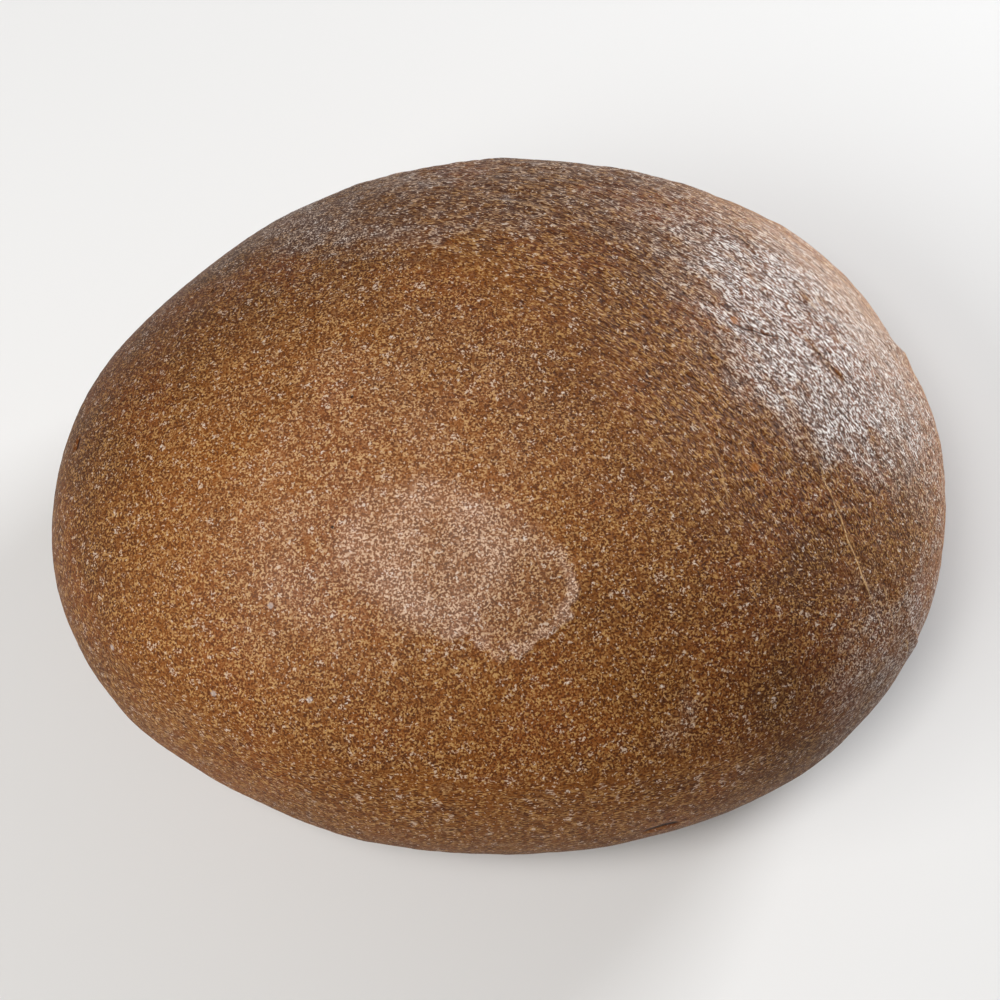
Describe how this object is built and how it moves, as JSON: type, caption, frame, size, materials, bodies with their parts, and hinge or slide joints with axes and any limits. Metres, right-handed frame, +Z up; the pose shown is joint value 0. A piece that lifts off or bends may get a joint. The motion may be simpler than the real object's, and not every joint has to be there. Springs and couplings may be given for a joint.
{
  "type": "bread loaf",
  "caption": "Oval hearth loaf of bread: a low domed solid with a browned, finely grained crust and a broad flat base that it rests on.",
  "frame": {"origin": "the middle of the loaf's bounding box at the level of its flat base", "axes": "+X along the length of the loaf, +Y across its width towards the far flank, +Z up through the crown"},
  "size_m": [0.25, 0.206, 0.1],
  "materials": {
    "crust": "matte baked crust, with a faint gloss on the well-baked side"
  },
  "bodies": {
    "root": {"loaf": "crust"}
  },
  "joints": []
}
